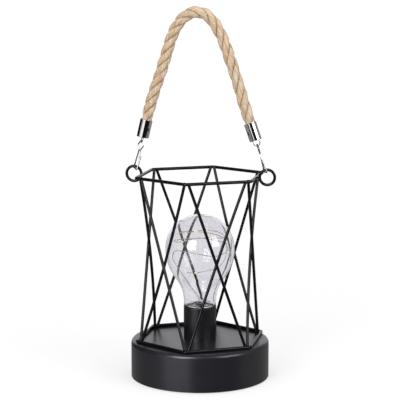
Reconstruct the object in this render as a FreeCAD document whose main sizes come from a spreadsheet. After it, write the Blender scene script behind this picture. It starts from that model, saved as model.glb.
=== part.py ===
import FreeCAD, Part
import Sketcher
import math
import os

# Lantern table lamp: a wire cage on a drum base, a clear bulb in a black holder, and a rope
# handle that hangs on two ring lugs. Millimetres, +Z up, the origin on the table under the
# middle of the drum, -Y towards the front.

Vector = FreeCAD.Vector
Rotation = FreeCAD.Rotation
Placement = FreeCAD.Placement
X_AXIS = Vector(1, 0, 0)
Y_AXIS = Vector(0, 1, 0)
Z_AXIS = Vector(0, 0, 1)

doc = FreeCAD.newDocument("lantern_lamp")

# ---------------------------------------------------------------- driving dimensions

SIZES = {
    # drum base: one drawn steel cup, open below
    "drum_radius": 60.0,
    "drum_height": 33.2,
    "drum_wall": 1.0,
    "drum_edge": 3.6,
    "drum_lift": 0.8,
    "lead_hole": 3.5,
    # moulded bottom cover, set up inside the drum's rim
    "cover_gap": 0.2,
    "cover_under": 2.6,
    "cover_plate": 2.0,
    "cover_upstand": 5.0,
    "cover_wall": 1.5,
    "post_edge": 10.0,
    "post_radius": 3.5,
    "boss_height": 2.0,
    "screw_radius": 1.5,
    "screw_head": 2.75,
    "screw_head_height": 1.7,
    "screw_grip": 6.0,
    "hole_play": 0.05,
    "foot_radius": 5.0,
    "foot_edge": 9.0,
    # battery bay for three AA cells side by side, along X
    "cell_radius": 7.1,
    "cell_length": 49.2,
    "cell_nub_radius": 2.6,
    "cell_nub": 1.2,
    "cell_pitch": 14.8,
    "cell_play": 0.35,
    "spring_room": 5.2,
    "contact_plate": 0.4,
    "contact_width": 10.6,
    "ear_width": 3.0,
    "spring_wire": 0.3,
    "spring_radius": 4.2,
    "lead_radius": 0.6,
    "bay_wall": 1.3,
    "bay_lip": 3.0,
    "door_plate": 1.8,
    "door_gap": 0.3,
    "tongue_width": 4.0,
    "tongue_reach": 2.4,
    "tongue_height": 1.2,
    # slide switch and its board, behind the bay
    "board_length": 28.0,
    "board_width": 15.0,
    "board_plate": 1.6,
    "board_back": 39.0,
    "switch_length": 12.0,
    "switch_width": 5.6,
    "switch_height": 4.4,
    "knob_length": 3.4,
    "knob_width": 2.2,
    "knob_tip": 1.2,
    "switch_travel": 3.0,
    # lamp holder
    "holder_radius": 14.2,
    "holder_height": 29.4,
    "holder_edge": 0.8,
    "holder_floor": 4.0,
    "holder_wall": 1.65,
    "holder_screw_spread": 8.5,
    "collar_play": 0.1,
    # clear bulb, blown glass
    "globe_radius": 30.0,
    "flank_radius": 42.0,
    "throat_radius": 32.0,
    "neck_radius": 14.0,
    "neck_height": 2.5,
    "neck_roll": 1.4,
    "neck_gap": 0.1,
    "collar_radius": 12.4,
    "collar_length": 6.5,
    "glass_wall": 1.0,
    "plug_height": 5.0,
    # fine string of lights inside the bulb
    "string_radius": 0.3,
    "string_wall_gap": 3.2,
    "bead_radius": 1.0,
    # wire cage
    "ring_wire": 1.4,
    "cage_wire": 1.25,
    "hexagon_edge": 3.0,
    "hexagon_bend": 2.5,
    "hexagon_turn": 17.85,
    "cage_height": 141.9,
    "wire_setback": 3.1,
    "lap_overrun": 0.6,
    "crossing_gap": 0.05,
    # ring lugs for the handle
    "lug_radius": 6.5,
    "lug_wire": 1.25,
    # wire clips
    "clip_wire": 0.6,
    "clip_length": 25.0,
    "clip_half_width": 4.5,
    "clip_waist": 16.5,
    "clip_eye_half_width": 3.0,
    "clip_tip_half_width": 1.0,
    "clip_latch": 10.5,
    "clip_bend": 1.0,
    "clip_slack": 0.2,
    "clip_tilt_left": 14.0,
    "clip_tilt_right": 17.5,
    "clip_twist_left": -60.0,
    "clip_twist_right": -64.0,
    "clip_eye_twist_left": -25.0,
    "clip_eye_twist_right": -85.0,
    # eyes and ferrules
    "eye_wire": 0.45,
    "eye_radius": 2.8,
    "eye_drop": 5.0,
    "eye_root": 1.6,
    "eye_slack": 0.4,
    "eye_twist_left": 90.0,
    "eye_twist_right": 0.0,
    "ferrule_radius": 5.4,
    "ferrule_length": 15.6,
    "ferrule_wall": 0.55,
    "ferrule_floor": 1.2,
    "ferrule_tilt_left": 13.1,
    "ferrule_tilt_right": 19.3,
    # laid rope
    "rope_radius": 4.7,
    "rope_seat": 3.2,
    "rope_first_run": 29.0,
    "rope_last_run": 22.0,
    "handle_span": 49.0,
}

size = doc.addObject("Spreadsheet::Sheet", "size")
for row, (alias, value) in enumerate(SIZES.items(), 1):
    size.set(f"A{row}", alias)
    size.set(f"B{row}", str(value))
    size.setAlias(f"B{row}", alias)
doc.recompute()


def number(text):
    """The value of an expression on the sheet."""
    return float(size.evalExpression(text))


# heights and places that follow from the driving dimensions
PLATE_UNDER = "(size.drum_height - size.drum_wall)"
DRUM_BORE = "(size.drum_radius - size.drum_wall)"
POST_SPREAD = "(size.drum_radius - size.post_edge)"
FOOT_SPREAD = "(size.drum_radius - size.foot_edge)"
COVER_RADIUS = f"({DRUM_BORE} - size.cover_gap)"
COVER_TOP = "(size.cover_under + size.cover_plate)"
BOSS_TOP = f"({COVER_TOP} + size.boss_height)"
CELL_LOW = "(size.cover_under + size.door_plate + size.cell_play)"
CELL_HIGH = f"({CELL_LOW} + 2 * size.cell_radius)"
CELL_AXIS = f"({CELL_LOW} + size.cell_radius)"
BAY_HALF_LENGTH = "((size.cell_length + size.cell_nub + size.spring_room + 2 * size.contact_plate) / 2)"
BAY_HALF_WIDTH = "(size.cell_pitch + size.cell_radius + size.cell_play)"
BAY_ROOF = f"({CELL_HIGH} + size.cell_play)"
MOUTH_HALF_LENGTH = f"({BAY_HALF_LENGTH} - size.bay_lip)"
DOOR_HALF_LENGTH = f"({MOUTH_HALF_LENGTH} - size.door_gap)"
DOOR_HALF_WIDTH = f"({BAY_HALF_WIDTH} - size.door_gap)"
DOOR_TOP = "(size.cover_under + size.door_plate)"
SWITCH_TOP = f"({COVER_TOP} + size.switch_height)"
HOLDER_TOP = "(size.drum_height + size.holder_height)"
COLLAR_LOW = f"({HOLDER_TOP} - size.collar_length)"
HOLDER_BORE = "(size.holder_radius - size.holder_wall)"
RING_LOW = "(size.drum_height + size.ring_wire)"
RING_HIGH = f"({RING_LOW} + size.cage_height)"
HEXAGON_RADIUS = "(size.drum_radius - size.hexagon_edge)"

SUBPARTS = []


def keep(shape_object, label):
    """Gives a finished sub-part its name and puts it on the list that is written out."""
    shape_object.Label = label
    SUBPARTS.append(shape_object)
    return shape_object


# ---------------------------------------------------------------- sketch and feature helpers

def new_body(name):
    return doc.addObject("PartDesign::Body", name)


def new_sketch(body, role, offset="0"):
    """A sketch on one of the body's own origin planes, moved along its normal."""
    sketch = body.newObject("Sketcher::SketchObject", body.Name + "_sketch")
    plane = [feature for feature in body.Origin.OriginFeatures if feature.Role == role][0]
    sketch.AttachmentSupport = (plane, [""])
    sketch.MapMode = "FlatFace"
    sketch.setExpression("AttachmentOffset.Base.z", offset)
    return sketch


def tie_point(sketch, geometry, position, x, y):
    """Holds one point of a sketch at x and y, both expressions on the sheet."""
    for kind, text in (("DistanceX", x), ("DistanceY", y)):
        index = sketch.addConstraint(Sketcher.Constraint(kind, -1, 1, geometry, position, number(text)))
        sketch.setExpression(f"Constraints[{index}]", text)


def outline(sketch, points):
    """A closed outline. A point's third value is the radius of an arc that runs to the next
    point, with the arc's centre on the left of the way for a plain radius and on the right
    for one that starts with a minus."""
    corners = [Vector(number(point[0]), number(point[1]), 0) for point in points]
    ends = []
    for index, point in enumerate(points):
        start = corners[index]
        finish = corners[(index + 1) % len(points)]
        if len(point) == 2:
            sketch.addGeometry(Part.LineSegment(start, finish), False)
            ends.append((sketch.GeometryCount - 1, 1, 2))
            continue
        radius = number(point[2])
        way = finish - start
        left = Vector(-way.y, way.x, 0).normalize()
        rise = math.sqrt(max(radius ** 2 - (way.Length / 2) ** 2, 0))
        centre = start + way * 0.5 + left * math.copysign(rise, radius)
        first, last = (start, finish) if radius > 0 else (finish, start)
        angles = [math.atan2(spot.y - centre.y, spot.x - centre.x) for spot in (first, last)]
        circle = Part.Circle(centre, Z_AXIS, abs(radius))
        sketch.addGeometry(Part.ArcOfCircle(circle, angles[0], angles[1]), False)
        geometry = sketch.GeometryCount - 1
        ends.append((geometry, 1, 2) if radius > 0 else (geometry, 2, 1))
    for index, (geometry, start, finish) in enumerate(ends):
        after = ends[(index + 1) % len(ends)]
        sketch.addConstraint(Sketcher.Constraint("Coincident", geometry, finish, after[0], after[1]))
    for (geometry, start, finish), point in zip(ends, points):
        tie_point(sketch, geometry, start, point[0], point[1])
        if len(point) == 3:
            text = point[2].lstrip("-")
            index = sketch.addConstraint(Sketcher.Constraint("Radius", geometry, number(text)))
            sketch.setExpression(f"Constraints[{index}]", text)


def rectangle(sketch, x_low, x_high, y_low, y_high):
    outline(sketch, [(x_low, y_low), (x_high, y_low), (x_high, y_high), (x_low, y_high)])


def circle(sketch, x, y, radius):
    sketch.addGeometry(Part.Circle(Vector(number(x), number(y), 0), Z_AXIS, number(radius)), False)
    geometry = sketch.GeometryCount - 1
    tie_point(sketch, geometry, 3, x, y)
    index = sketch.addConstraint(Sketcher.Constraint("Radius", geometry, number(radius)))
    sketch.setExpression(f"Constraints[{index}]", radius)


def revolve(body, points):
    """Turns a half profile, in the body's XZ plane, about Z."""
    sketch = new_sketch(body, "XZ_Plane")
    outline(sketch, points)
    doc.recompute()
    turned = body.newObject("PartDesign::Revolution", body.Name + "_turned")
    turned.Profile = sketch
    turned.ReferenceAxis = (sketch, ["V_Axis"])
    turned.Angle = 360
    doc.recompute()
    return turned


def pad(body, draw, low, length):
    """Raises what draw(sketch) draws from the height low by a length."""
    sketch = new_sketch(body, "XY_Plane", low)
    draw(sketch)
    doc.recompute()
    raised = body.newObject("PartDesign::Pad", body.Name + "_pad")
    raised.Profile = sketch
    raised.setExpression("Length", length)
    doc.recompute()
    return raised


def pocket(body, draw, top, depth):
    """Cuts what draw(sketch) draws from the height top down by a depth."""
    before = body.Shape.Volume
    sketch = new_sketch(body, "XY_Plane", top)
    draw(sketch)
    doc.recompute()
    cut = body.newObject("PartDesign::Pocket", body.Name + "_pocket")
    cut.Profile = sketch
    cut.setExpression("Length", depth)
    doc.recompute()
    if not body.Shape.Volume < before:
        raise RuntimeError(f"{cut.Name} cuts nothing")
    return cut


def round_edges(body, wanted, radius):
    """Rounds the edges of the body's last feature that wanted(edge) picks."""
    feature = body.Tip
    names = [f"Edge{i + 1}" for i, edge in enumerate(feature.Shape.Edges) if wanted(edge)]
    fillet = body.newObject("PartDesign::Fillet", body.Name + "_round")
    fillet.Base = (feature, names)
    fillet.setExpression("Radius", radius)
    doc.recompute()
    return fillet


def circle_edge_at(height, radius):
    """Picks the level circle of a radius at a height."""
    def wanted(edge):
        curve = edge.Curve
        return (isinstance(curve, Part.Circle) and abs(curve.Radius - number(radius)) < 1e-4
                and abs(curve.Center.z - number(height)) < 1e-4)
    return wanted


def upright_edges(edge):
    """Picks straight edges that stand along Z."""
    return isinstance(edge.Curve, Part.Line) and abs(edge.tangentAt(edge.FirstParameter).z) > 0.999


def cylinder(name, radius, low, length, x="0", y="0"):
    """A round bar along Z."""
    bar = doc.addObject("Part::Cylinder", name)
    bar.setExpression("Radius", radius)
    bar.setExpression("Height", length)
    bar.setExpression("Placement.Base.x", x)
    bar.setExpression("Placement.Base.y", y)
    bar.setExpression("Placement.Base.z", low)
    return bar


def fuse(name, *parts):
    joined = doc.addObject("Part::MultiFuse", name)
    joined.Shapes = list(parts)
    return joined


def cut(name, base, tool):
    result = doc.addObject("Part::Cut", name)
    result.Base = base
    result.Tool = tool
    return result


def group(name, parts):
    """Separate solids that are kept as one sub-part."""
    compound = doc.addObject("Part::Compound", name)
    compound.Links = parts
    return compound


def around(count, radius, start=0.0):
    """Expressions for x and y of evenly spaced places on a circle."""
    places = []
    for index in range(count):
        angle = start + 360.0 * index / count
        places.append((f"({radius} * cos({angle}))", f"({radius} * sin({angle}))"))
    return places


# ---------------------------------------------------------------- bent wire

RUN_SHARE = 0.45


def bent_path(points, radius=None, closed=False):
    """Straight runs joined by tangent arcs. Without a radius each arc takes up the same share
    of its shorter run. Returns the wire and the radii."""
    count = len(points)
    bends = range(count) if closed else range(1, count - 1)
    entries = {}
    radii = []
    for index in bends:
        corner = points[index]
        before = points[index - 1] - corner
        after = points[(index + 1) % count] - corner
        turn = math.pi - before.getAngle(after)
        if radius is None:
            reach = RUN_SHARE * min(before.Length, after.Length)
        else:
            reach = radius * math.tan(turn / 2)
        bend = reach / math.tan(turn / 2)
        radii.append(bend)
        start = corner + before.normalize() * reach
        finish = corner + after.normalize() * reach
        inward = (before + after).normalize()
        middle = corner + inward * (bend / math.cos(turn / 2) - bend)
        entries[index] = (start, middle, finish)
    edges = []
    last = entries[count - 1][2] if closed else points[0]
    for index in range(count) if closed else range(1, count):
        if index in entries:
            start, middle, finish = entries[index]
        else:
            start = points[index]
        if (start - last).Length > 1e-6:
            edges.append(Part.LineSegment(last, start).toShape())
        if index in entries:
            edges.append(Part.Arc(start, middle, finish).toShape())
            last = finish
    return Part.Wire(edges), radii


def wire_sweep(name, path, radius):
    """A round wire along a path. Its section is bound to the sheet."""
    spine = doc.addObject("Part::Feature", name + "_path")
    spine.Shape = path
    first = path.Edges[0]
    section = doc.addObject("Part::Circle", name + "_section")
    section.setExpression("Radius", radius)
    start = first.valueAt(first.FirstParameter)
    section.Placement = Placement(start, Rotation(Z_AXIS, first.tangentAt(first.FirstParameter)))
    sweep = doc.addObject("Part::Sweep", name)
    sweep.Sections = [section]
    sweep.Spine = (spine, [f"Edge{i + 1}" for i in range(len(path.Edges))])
    sweep.Solid = True
    sweep.Frenet = False
    return sweep


# ---------------------------------------------------------------- drum base

def make_base_shell():
    """Drawn cup: a level top with a rounded edge, holes for the leads, the holder's screws
    and an open foot."""
    body = new_body("base_shell")
    revolve(body, [
        ("size.lead_hole", PLATE_UNDER),
        (DRUM_BORE, PLATE_UNDER),
        (DRUM_BORE, "size.drum_lift"),
        ("size.drum_radius", "size.drum_lift"),
        ("size.drum_radius", "size.drum_height"),
        ("size.lead_hole", "size.drum_height"),
    ])
    round_edges(body, circle_edge_at("size.drum_height", "size.drum_radius"), "size.drum_edge")
    round_edges(body, circle_edge_at(PLATE_UNDER, DRUM_BORE), "size.drum_edge - size.drum_wall")

    def holes(sketch):
        for side in ("", "-"):
            circle(sketch, "0", f"{side}size.holder_screw_spread", "size.screw_radius + 2 * size.hole_play")

    pocket(body, holes, "size.drum_height", "2 * size.drum_wall")
    keep(body, "base_shell")


def make_cover_posts():
    """Three round standoffs, welded under the top plate and bored for the cover's screws."""
    posts = []
    for index, (x, y) in enumerate(around(3, POST_SPREAD, 30)):
        bar = cylinder(f"post_{index}", "size.post_radius", BOSS_TOP, f"{PLATE_UNDER} - {BOSS_TOP}", x, y)
        bore = cylinder(f"post_bore_{index}", "size.screw_radius + size.hole_play", BOSS_TOP,
                        "size.screw_grip + 2", x, y)
        posts.append(cut(f"post_bored_{index}", bar, bore))
    keep(group("cover_posts", posts), "cover_posts")


def make_cover_screws():
    """Three pan-head screws, their heads sunk into the cover from below."""
    screws = []
    head_low = "(size.cover_under + 0.2)"
    shank_low = f"({head_low} + size.screw_head_height)"
    for index, (x, y) in enumerate(around(3, POST_SPREAD, 30)):
        head = cylinder(f"cover_screw_head_{index}", "size.screw_head", head_low, "size.screw_head_height", x, y)
        shank = cylinder(f"cover_screw_shank_{index}", "size.screw_radius", shank_low,
                         f"{BOSS_TOP} + size.screw_grip - {shank_low}", x, y)
        screws.append(fuse(f"cover_screw_{index}", head, shank))
    keep(group("cover_screws", screws), "cover_screws")


def make_bottom_cover():
    """Moulded disc with an upstand that stiffens its edge, the battery bay's box, screw
    bosses, seats for the board and a window for the switch's knob."""
    body = new_body("bottom_cover")
    pad(body, lambda sketch: circle(sketch, "0", "0", COVER_RADIUS), "size.cover_under", "size.cover_plate")

    def upstand(sketch):
        circle(sketch, "0", "0", COVER_RADIUS)
        circle(sketch, "0", "0", f"{COVER_RADIUS} - size.cover_wall")

    pad(body, upstand, COVER_TOP, "size.cover_upstand")

    def bay_box(sketch):
        half_length = f"({BAY_HALF_LENGTH} + size.bay_wall)"
        half_width = f"({BAY_HALF_WIDTH} + size.bay_wall)"
        rectangle(sketch, f"-{half_length}", half_length, f"-{half_width}", half_width)

    pad(body, bay_box, COVER_TOP, f"{BAY_ROOF} + size.bay_wall - {COVER_TOP}")
    round_edges(body, lambda edge: upright_edges(edge) and edge.CenterOfMass.z > number(COVER_TOP), "size.bay_wall")

    def bosses(sketch):
        for x, y in around(3, POST_SPREAD, 30):
            circle(sketch, x, y, "size.post_radius")

    pad(body, bosses, COVER_TOP, "size.boss_height")

    def board_seats(sketch):
        for side in ("", "-"):
            circle(sketch, f"{side}(size.board_length / 2 - 3)", "size.board_back", "2")

    pad(body, board_seats, COVER_TOP, "size.switch_height")

    def bay_hollow(sketch):
        rectangle(sketch, f"-{BAY_HALF_LENGTH}", BAY_HALF_LENGTH, f"-{BAY_HALF_WIDTH}", BAY_HALF_WIDTH)

    pocket(body, bay_hollow, BAY_ROOF, f"{BAY_ROOF} - {COVER_TOP}")

    def bay_mouth(sketch):
        rectangle(sketch, f"-{MOUTH_HALF_LENGTH}", MOUTH_HALF_LENGTH, f"-{BAY_HALF_WIDTH}", BAY_HALF_WIDTH)

    pocket(body, bay_mouth, COVER_TOP, "size.cover_plate + 1")

    def ear_slits(sketch):
        for side in (-1, 1):
            x = f"({side} * ({BAY_HALF_LENGTH} - size.contact_plate / 2))"
            y = f"({side} * size.cell_pitch)"
            thick = "(size.contact_plate / 2 + size.hole_play)"
            wide = "(size.ear_width / 2 + 2 * size.hole_play)"
            rectangle(sketch, f"{x} - {thick}", f"{x} + {thick}", f"{y} - {wide}", f"{y} + {wide}")

    pocket(body, ear_slits, f"{BAY_ROOF} + size.bay_wall", "size.bay_wall + 0.5")

    def screw_holes(sketch):
        for x, y in around(3, POST_SPREAD, 30):
            circle(sketch, x, y, "size.screw_radius + 2 * size.hole_play")

    pocket(body, screw_holes, BOSS_TOP, f"{BOSS_TOP} - size.cover_under + 1")

    def head_recesses(sketch):
        for x, y in around(3, POST_SPREAD, 30):
            circle(sketch, x, y, "size.screw_head + 0.25")

    pocket(body, head_recesses, "size.cover_under + 0.2 + size.screw_head_height", "size.screw_head_height + 1")

    def knob_window(sketch):
        half = "(size.knob_width / 2 + 0.3)"
        rectangle(sketch, "-size.knob_length / 2 - 0.3", "size.knob_length / 2 + size.switch_travel + 0.3",
                  f"size.board_back - {half}", f"size.board_back + {half}")

    pocket(body, knob_window, COVER_TOP, "size.cover_plate + 1")
    keep(body, "bottom_cover")


def make_rubber_feet():
    """Four soft pads under the cover. They lift the drum's rim off the table."""
    pads = []
    for index, (x, y) in enumerate(around(4, FOOT_SPREAD, 45)):
        pads.append(cylinder(f"foot_{index}", "size.foot_radius", "0", "size.cover_under", x, y))
    keep(group("rubber_feet", pads), "rubber_feet")


def make_battery_door():
    """Flat door with two tongues that hook over the mouth's edge and a scooped thumb catch."""
    body = new_body("battery_door")

    def panel(sketch):
        rectangle(sketch, f"-{DOOR_HALF_LENGTH}", DOOR_HALF_LENGTH, f"-{DOOR_HALF_WIDTH}", DOOR_HALF_WIDTH)

    pad(body, panel, "size.cover_under", "size.door_plate")
    tongue_low = f"({COVER_TOP} + 0.2)"

    def rails(sketch):
        for side in (-1, 1):
            middle = f"({side} * size.cell_pitch / 2)"
            rectangle(sketch, f"-{DOOR_HALF_LENGTH}", f"-{DOOR_HALF_LENGTH} + 2.0",
                      f"{middle} - size.tongue_width / 2", f"{middle} + size.tongue_width / 2")

    pad(body, rails, DOOR_TOP, f"{tongue_low} + size.tongue_height - {DOOR_TOP}")

    def tongues(sketch):
        for side in (-1, 1):
            middle = f"({side} * size.cell_pitch / 2)"
            rectangle(sketch, f"-{DOOR_HALF_LENGTH} - size.tongue_reach", f"-{DOOR_HALF_LENGTH} + 0.5",
                      f"{middle} - size.tongue_width / 2", f"{middle} + size.tongue_width / 2")

    pad(body, tongues, tongue_low, "size.tongue_height")

    def scoop(sketch):
        outline(sketch, [
            (f"{DOOR_HALF_LENGTH}", "-7"),
            (f"{DOOR_HALF_LENGTH}", "7"),
            (f"{DOOR_HALF_LENGTH} - 5", "5"),
            (f"{DOOR_HALF_LENGTH} - 5", "-5"),
        ])

    pocket(body, scoop, "size.cover_under + 0.8", "2")

    def catch_slits(sketch):
        for side in (-1, 1):
            rectangle(sketch, f"{DOOR_HALF_LENGTH} - 9", f"{DOOR_HALF_LENGTH} + 1",
                      f"{side} * 8 - 0.4", f"{side} * 8 + 0.4")

    pocket(body, catch_slits, DOOR_TOP, "size.door_plate + 1")
    keep(body, "battery_door")


def make_battery_cells():
    """Three cells, every other one turned round."""
    for index in range(3):
        name = f"battery_cell_{index + 1}"
        body = new_body(name)
        revolve(body, [
            ("0", "0"),
            ("size.cell_radius", "0"),
            ("size.cell_radius", "size.cell_length"),
            ("size.cell_nub_radius", "size.cell_length"),
            ("size.cell_nub_radius", "size.cell_length + size.cell_nub"),
            ("0", "size.cell_length + size.cell_nub"),
        ])
        round_edges(body, lambda edge: isinstance(edge.Curve, Part.Circle)
                    and abs(edge.Curve.Radius - number("size.cell_radius")) < 1e-4, "0.7")
        facing = 1 if index % 2 == 0 else -1
        body.Placement.Rotation = Rotation(Z_AXIS, Vector(facing, 0, 0))
        nub_end = f"({BAY_HALF_LENGTH} - size.contact_plate - size.cell_length - size.cell_nub)"
        body.setExpression("Placement.Base.x", f"{facing} * {nub_end}")
        body.setExpression("Placement.Base.y", f"{index - 1} * size.cell_pitch")
        body.setExpression("Placement.Base.z", CELL_AXIS)
        keep(body, name)


def make_contacts():
    """Plated steel plates at both ends of the bay. A wide one at each end bridges two cells,
    and the single ones at the string's two ends have an ear that stands up through the roof
    for a lead. A tapered coil presses each cell's flat end."""
    plates = []
    for side, lone in ((-1, -1), (1, 1)):
        inner = f"({side} * ({BAY_HALF_LENGTH} - size.contact_plate / 2) - size.contact_plate / 2)"
        low = f"({CELL_AXIS} - size.contact_width / 2)"
        bridge = contact_plate(f"bridge_{side + 1}", inner, f"-{lone} * size.cell_pitch / 2",
                               "size.cell_pitch + size.contact_width", low, "size.contact_width")
        tag = contact_plate(f"tag_{side + 1}", inner, f"{lone} * size.cell_pitch",
                            "size.contact_width", low, "size.contact_width")
        ear = contact_plate(f"ear_{side + 1}", inner, f"{lone} * size.cell_pitch", "size.ear_width",
                            low, f"{BAY_ROOF} + size.bay_wall + 2 - {low}")
        plates += [bridge, fuse(f"end_contact_{side + 1}", tag, ear)]
    keep(group("battery_contacts", plates), "battery_contacts")
    keep(group("battery_springs", [make_spring(index) for index in range(3)]), "battery_springs")


def contact_plate(name, inner, middle, width, low, height):
    """One flat plate that stands against an end wall of the bay."""
    plate = doc.addObject("Part::Box", name)
    plate.setExpression("Length", "size.contact_plate")
    plate.setExpression("Width", width)
    plate.setExpression("Height", height)
    plate.setExpression("Placement.Base.x", inner)
    plate.setExpression("Placement.Base.y", f"{middle} - ({width}) / 2")
    plate.setExpression("Placement.Base.z", low)
    return plate


SPRING_BENDS = 19
SPRING_TAPER = 0.45


def make_spring(index):
    """A tapered coil between a plate and the flat end of a cell, six bends to a turn."""
    facing = 1 if index % 2 == 0 else -1
    root = number(f"{BAY_HALF_LENGTH} - size.contact_plate - size.spring_wire - 0.05")
    reach = number("size.spring_room - 2 * size.spring_wire - 0.1")
    middle = number(f"{index - 1} * size.cell_pitch")
    axis = number(CELL_AXIS)
    points = []
    for bend in range(SPRING_BENDS):
        share = bend / (SPRING_BENDS - 1)
        coil = number("size.spring_radius") * (1 - SPRING_TAPER * share)
        angle = math.radians(60 * bend)
        points.append(Vector(-facing * (root - reach * share), middle + coil * math.cos(angle),
                             axis + coil * math.sin(angle)))
    return wire_sweep(f"spring_{index}", bent_path(points)[0], "size.spring_wire")


def make_circuit_board():
    """Board with the timer chip on it, held on two pegs of the cover."""
    body = new_body("circuit_board")

    def plate(sketch):
        rectangle(sketch, "-size.board_length / 2", "size.board_length / 2",
                  "size.board_back - size.board_width / 2", "size.board_back + size.board_width / 2")

    pad(body, plate, SWITCH_TOP, "size.board_plate")
    board_top = f"({SWITCH_TOP} + size.board_plate)"

    def chip(sketch):
        rectangle(sketch, "-2.5", "2.5", "size.board_back - 2", "size.board_back + 2")

    pad(body, chip, board_top, "1.5")

    def resistors(sketch):
        for x in (-8, 6):
            rectangle(sketch, f"{x}", f"{x} + 3.2", "size.board_back + 2.5", "size.board_back + 4.1")

    pad(body, resistors, board_top, "0.7")
    keep(body, "circuit_board")


def make_switch():
    """Slide switch: a folded metal case under the board and the knob that travels in it."""
    case = new_body("switch_body")

    def frame(sketch):
        middle = "(size.switch_travel / 2)"
        rectangle(sketch, f"{middle} - size.switch_length / 2", f"{middle} + size.switch_length / 2",
                  "size.board_back - size.switch_width / 2", "size.board_back + size.switch_width / 2")

    pad(case, frame, COVER_TOP, "size.switch_height")

    def track(sketch):
        half = "(size.knob_width / 2 + 0.15)"
        rectangle(sketch, "-size.knob_length / 2 - 0.15", "size.knob_length / 2 + size.switch_travel + 0.15",
                  f"size.board_back - {half}", f"size.board_back + {half}")

    pocket(case, track, f"{COVER_TOP} + 2.5", "3")
    keep(case, "switch_body")

    knob = new_body("switch_knob")

    def stem(sketch):
        rectangle(sketch, "-size.knob_length / 2", "size.knob_length / 2",
                  "size.board_back - size.knob_width / 2", "size.board_back + size.knob_width / 2")

    pad(knob, stem, "size.knob_tip", f"{COVER_TOP} + 2.3 - size.knob_tip")

    def grips(sketch):
        for x in (-0.9, 0, 0.9):
            rectangle(sketch, f"{x} - 0.15", f"{x} + 0.15",
                      "size.board_back - size.knob_width", "size.board_back + size.knob_width")

    pocket(knob, grips, "size.knob_tip + 0.35", "1")
    keep(knob, "switch_knob")


# ---------------------------------------------------------------- lamp holder and bulb

def make_lamp_holder():
    """Turned cup with a thick floor for its screws and a ledge that the bulb's collar
    stands on."""
    body = new_body("lamp_holder")
    ledge = f"({HOLDER_BORE} - 2.0)"
    revolve(body, [
        ("size.lead_hole", "size.drum_height"),
        ("size.holder_radius", "size.drum_height"),
        ("size.holder_radius", HOLDER_TOP),
        (HOLDER_BORE, HOLDER_TOP),
        (HOLDER_BORE, f"{COLLAR_LOW} - size.collar_play"),
        (ledge, f"{COLLAR_LOW} - size.collar_play"),
        (ledge, "size.drum_height + size.holder_floor"),
        ("size.lead_hole", "size.drum_height + size.holder_floor"),
    ])
    round_edges(body, circle_edge_at(HOLDER_TOP, "size.holder_radius"), "size.holder_edge")

    def screw_bores(sketch):
        for side in ("", "-"):
            circle(sketch, "0", f"{side}size.holder_screw_spread", "size.screw_radius + size.hole_play")

    pocket(body, screw_bores, "size.drum_height + size.holder_floor", "size.holder_floor + 1")
    keep(body, "lamp_holder")


def make_holder_screws():
    """Two screws that hold the lamp holder, put in from inside the drum."""
    screws = []
    for index, side in enumerate(("", "-")):
        y = f"{side}size.holder_screw_spread"
        head = cylinder(f"holder_screw_head_{index}", "size.screw_head",
                        f"{PLATE_UNDER} - size.screw_head_height", "size.screw_head_height", "0", y)
        shank = cylinder(f"holder_screw_shank_{index}", "size.screw_radius", PLATE_UNDER,
                         "size.drum_wall + size.holder_floor - 0.5", "0", y)
        screws.append(fuse(f"holder_screw_{index}", head, shank))
    keep(group("holder_screws", screws), "holder_screws")


FLANK_X = "(size.globe_radius - size.flank_radius)"
THROAT_X = "(size.neck_radius + size.throat_radius)"
THROAT_DROP = f"sqrt((size.flank_radius + size.throat_radius)^2 - ({THROAT_X} - {FLANK_X})^2)"
NECK_LOW = f"({HOLDER_TOP} + size.neck_gap)"
THROAT_Z = f"({NECK_LOW} + size.neck_roll + size.neck_height)"
GLOBE_CENTRE = f"({THROAT_Z} + {THROAT_DROP})"


def flank_meets_throat(flank):
    """The point where the flank's arc, of this radius, runs into the throat's arc."""
    share = f"({flank} / (size.flank_radius + size.throat_radius))"
    return (f"{FLANK_X} + {share} * ({THROAT_X} - {FLANK_X})",
            f"{GLOBE_CENTRE} - {share} * {THROAT_DROP}")


def make_bulb_glass():
    """Blown globe that runs down through a pear-shaped flank into the neck, rolls in at the
    holder's rim and ends in a plain collar. One wall, open at the collar."""
    body = new_body("bulb_glass")
    wall = "size.glass_wall"
    inner_flank = f"(size.flank_radius - {wall})"
    outer_x, outer_z = flank_meets_throat("size.flank_radius")
    inner_x, inner_z = flank_meets_throat(inner_flank)
    revolve(body, [
        ("0", f"{GLOBE_CENTRE} + size.globe_radius", "-size.globe_radius"),
        ("size.globe_radius", GLOBE_CENTRE, "-size.flank_radius"),
        (outer_x, outer_z, "size.throat_radius"),
        ("size.neck_radius", THROAT_Z),
        ("size.neck_radius", f"{NECK_LOW} + size.neck_roll", "-size.neck_roll"),
        ("size.neck_radius - size.neck_roll", NECK_LOW),
        ("size.collar_radius", NECK_LOW),
        ("size.collar_radius", COLLAR_LOW),
        (f"size.collar_radius - {wall}", COLLAR_LOW),
        (f"size.collar_radius - {wall}", f"{NECK_LOW} + {wall}"),
        (f"size.neck_radius - {wall}", f"{NECK_LOW} + size.neck_roll + {wall}"),
        (f"size.neck_radius - {wall}", THROAT_Z, f"-(size.throat_radius + {wall})"),
        (inner_x, inner_z, inner_flank),
        (f"size.globe_radius - {wall}", GLOBE_CENTRE, f"(size.globe_radius - {wall})"),
        ("0", f"{GLOBE_CENTRE} + size.globe_radius - {wall}"),
    ])
    keep(body, "bulb_glass")


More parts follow.
